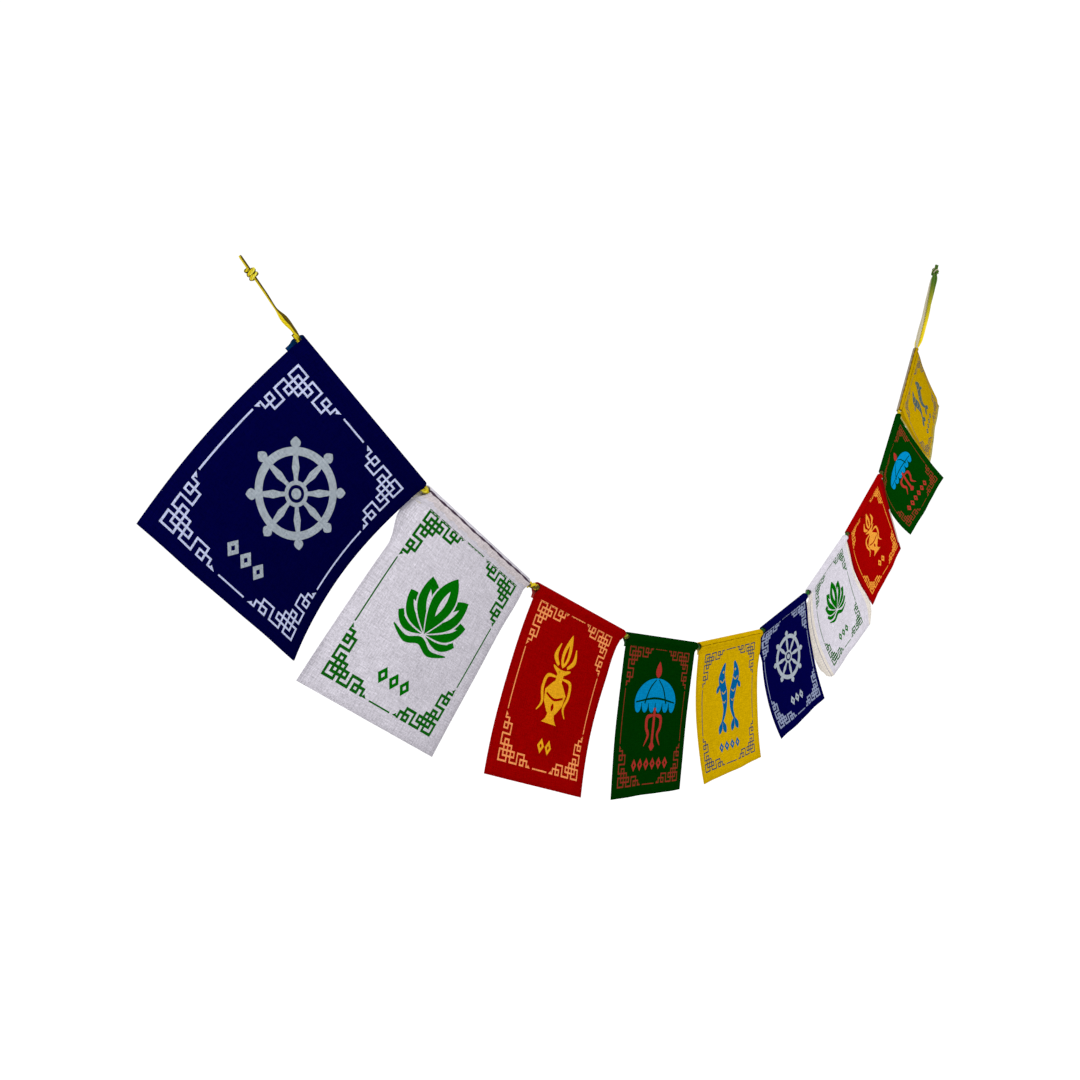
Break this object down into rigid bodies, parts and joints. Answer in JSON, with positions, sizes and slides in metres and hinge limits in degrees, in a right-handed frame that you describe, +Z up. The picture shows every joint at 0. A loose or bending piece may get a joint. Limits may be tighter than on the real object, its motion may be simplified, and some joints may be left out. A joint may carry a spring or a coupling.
{
  "type": "prayer flag string",
  "caption": "Small printed cloth flags in five colours, hung by folded top hems along one loosely twisted cord that sags between its two knotted ends.",
  "frame": {"origin": "centre of the knot at the string's left end", "axes": "+X runs along the string from the left end to the right, +Z is up, and the printed faces look towards -Y"},
  "size_m": [0.8527, 0.0387, 0.4783],
  "materials": {
    "cord_yarn": "loosely twisted matt yarn in yellow, green and cream",
    "blue_cloth": "matt woven cotton, printed",
    "white_cloth": "matt woven cotton, printed",
    "red_cloth": "matt woven cotton, printed",
    "green_cloth": "matt woven cotton, printed",
    "yellow_cloth": "matt woven cotton, printed"
  },
  "bodies": {
    "root": {"cord": "cord_yarn", "flag_01_blue": "blue_cloth", "flag_02_white": "white_cloth", "flag_03_red": "red_cloth", "flag_04_green": "green_cloth", "flag_05_yellow": "yellow_cloth", "flag_06_blue": "blue_cloth", "flag_07_white": "white_cloth", "flag_08_red": "red_cloth", "flag_09_green": "green_cloth", "flag_10_yellow": "yellow_cloth"}
  },
  "joints": []
}
